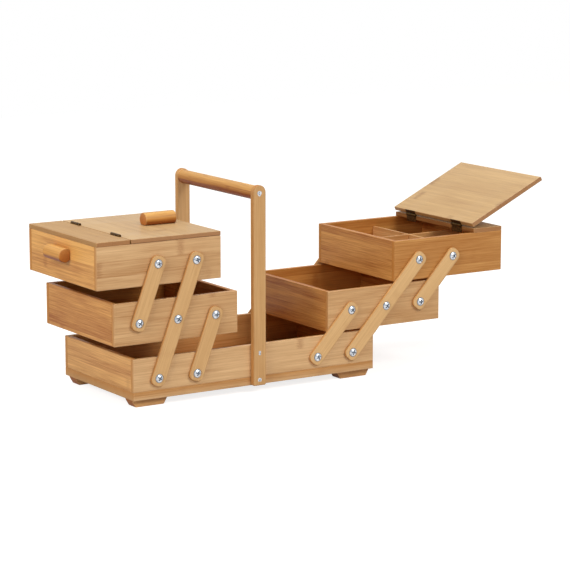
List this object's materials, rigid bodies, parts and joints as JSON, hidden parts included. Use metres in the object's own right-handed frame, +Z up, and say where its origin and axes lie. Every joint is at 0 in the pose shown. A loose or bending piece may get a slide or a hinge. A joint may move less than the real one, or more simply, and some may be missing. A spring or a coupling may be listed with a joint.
{
  "type": "sewing carrier",
  "caption": "Wooden cantilever sewing box: an open base with a fixed handle, trays that swing out on pivoting arms to each side, and hinged lids with knobs on the top trays.",
  "frame": {"origin": "middle of the base's footprint, on the plane that the feet stand on", "axes": "+Z up, +X along the box from the left trays to the right trays, +Y from front to back"},
  "size_m": [0.7818, 0.219, 0.2975],
  "materials": {
    "bamboo_board": "satin clear lacquer, laminated strips",
    "bamboo_arm": "satin clear lacquer, laminated strips",
    "bamboo_dowel": "satin clear lacquer, laminated strips",
    "bamboo_foot": "satin clear lacquer, laminated strips",
    "zinc_screw": "bright zinc plate",
    "bronze_hinge": "dark antique plate"
  },
  "bodies": {
    "base": {"base_floor": "bamboo_board", "base_front": "bamboo_board", "base_back": "bamboo_board", "base_left_end": "bamboo_board", "base_right_end": "bamboo_board", "base_feet": "bamboo_foot", "handle_upright_front": "bamboo_arm", "handle_upright_back": "bamboo_arm", "handle_bar": "bamboo_dowel", "base_screws": "zinc_screw"},
    "left_long_arms": {"left_long_arm_front": "bamboo_arm", "left_long_arm_back": "bamboo_arm"},
    "left_lower_arms": {"left_lower_arm_front": "bamboo_arm", "left_lower_arm_back": "bamboo_arm"},
    "left_upper_arms": {"left_upper_arm_front": "bamboo_arm", "left_upper_arm_back": "bamboo_arm"},
    "left_mid_tray": {"left_mid_floor": "bamboo_board", "left_mid_front": "bamboo_board", "left_mid_back": "bamboo_board", "left_mid_outer_end": "bamboo_board", "left_mid_inner_end": "bamboo_board", "left_mid_pivot_screws": "zinc_screw"},
    "left_top_tray": {"left_top_floor": "bamboo_board", "left_top_front": "bamboo_board", "left_top_back": "bamboo_board", "left_top_outer_end": "bamboo_board", "left_top_inner_end": "bamboo_board", "left_top_strip": "bamboo_board", "left_top_knob": "bamboo_dowel", "left_top_dividers": "bamboo_board", "left_top_hinge_leaves": "bronze_hinge", "left_top_pivot_screws": "zinc_screw"},
    "left_lid": {"left_lid_board": "bamboo_board", "left_lid_knob": "bamboo_dowel", "left_lid_hinge_leaves": "bronze_hinge"},
    "right_long_arms": {"right_long_arm_front": "bamboo_arm", "right_long_arm_back": "bamboo_arm"},
    "right_lower_arms": {"right_lower_arm_front": "bamboo_arm", "right_lower_arm_back": "bamboo_arm"},
    "right_upper_arms": {"right_upper_arm_front": "bamboo_arm", "right_upper_arm_back": "bamboo_arm"},
    "right_mid_tray": {"right_mid_floor": "bamboo_board", "right_mid_front": "bamboo_board", "right_mid_back": "bamboo_board", "right_mid_outer_end": "bamboo_board", "right_mid_inner_end": "bamboo_board", "right_mid_pivot_screws": "zinc_screw"},
    "right_top_tray": {"right_top_floor": "bamboo_board", "right_top_front": "bamboo_board", "right_top_back": "bamboo_board", "right_top_outer_end": "bamboo_board", "right_top_inner_end": "bamboo_board", "right_top_strip": "bamboo_board", "right_top_knob": "bamboo_dowel", "right_top_dividers": "bamboo_board", "right_top_hinge_leaves": "bronze_hinge", "right_top_pivot_screws": "zinc_screw"},
    "right_lid": {"right_lid_board": "bamboo_board", "right_lid_knob": "bamboo_dowel", "right_lid_hinge_leaves": "bronze_hinge"}
  },
  "joints": [
    {"name": "left_trays_swing", "type": "hinge", "parent": "base", "child": "left_long_arms", "pos_m": [-0.1615, 0, 0.04], "axis": [0, -1, 0], "range_deg": [-23.07, 66.84]},
    {"name": "left_lower_arms_swing", "type": "hinge", "parent": "base", "child": "left_lower_arms", "pos_m": [-0.1005, 0, 0.04], "axis": [0, -1, 0], "range_deg": [-23.09, 66.86]},
    {"name": "left_mid_tray_pivot", "type": "hinge", "parent": "left_long_arms", "child": "left_mid_tray", "pos_m": [-0.13082, 0, 0.12034], "axis": [0, -1, 0], "range_deg": [-66.86, 23.09]},
    {"name": "left_top_tray_pivot", "type": "hinge", "parent": "left_long_arms", "child": "left_top_tray", "pos_m": [-0.10014, 0, 0.20068], "axis": [0, -1, 0], "range_deg": [-66.86, 23.09]},
    {"name": "left_upper_arms_swing", "type": "hinge", "parent": "left_mid_tray", "child": "left_upper_arms", "pos_m": [-0.19182, 0, 0.12034], "axis": [0, -1, 0], "range_deg": [-23.09, 66.86]},
    {"name": "left_lid_hinge", "type": "hinge", "parent": "left_top_tray", "child": "left_lid", "pos_m": [-0.20175, 0, 0.23818], "axis": [0, -1, 0], "range_deg": [0, 154.6]},
    {"name": "right_trays_swing", "type": "hinge", "parent": "base", "child": "right_long_arms", "pos_m": [0.1615, 0, 0.04], "axis": [0, 1, 0], "range_deg": [-86.96, 2.95]},
    {"name": "right_lower_arms_swing", "type": "hinge", "parent": "base", "child": "right_lower_arms", "pos_m": [0.1005, 0, 0.04], "axis": [0, 1, 0], "range_deg": [-86.98, 2.97]},
    {"name": "right_mid_tray_pivot", "type": "hinge", "parent": "right_long_arms", "child": "right_mid_tray", "pos_m": [0.22015, 0, 0.1029], "axis": [0, 1, 0], "range_deg": [-2.97, 86.98]},
    {"name": "right_top_tray_pivot", "type": "hinge", "parent": "right_long_arms", "child": "right_top_tray", "pos_m": [0.2788, 0, 0.1658], "axis": [0, 1, 0], "range_deg": [-2.97, 86.98]},
    {"name": "right_upper_arms_swing", "type": "hinge", "parent": "right_mid_tray", "child": "right_upper_arms", "pos_m": [0.28115, 0, 0.1029], "axis": [0, 1, 0], "range_deg": [-86.98, 2.97]},
    {"name": "right_lid_hinge", "type": "hinge", "parent": "right_top_tray", "child": "right_lid", "pos_m": [0.3804, 0, 0.2033], "axis": [0, 1, 0], "range_deg": [-154.6, 0]}
  ],
  "couplings": [
    {"joint": "left_lower_arms_swing", "follows": "left_trays_swing", "ratio": 1},
    {"joint": "left_mid_tray_pivot", "follows": "left_trays_swing", "ratio": -1},
    {"joint": "left_top_tray_pivot", "follows": "left_trays_swing", "ratio": -1},
    {"joint": "left_upper_arms_swing", "follows": "left_trays_swing", "ratio": 1},
    {"joint": "right_lower_arms_swing", "follows": "right_trays_swing", "ratio": 1},
    {"joint": "right_mid_tray_pivot", "follows": "right_trays_swing", "ratio": -1},
    {"joint": "right_top_tray_pivot", "follows": "right_trays_swing", "ratio": -1},
    {"joint": "right_upper_arms_swing", "follows": "right_trays_swing", "ratio": 1}
  ]
}
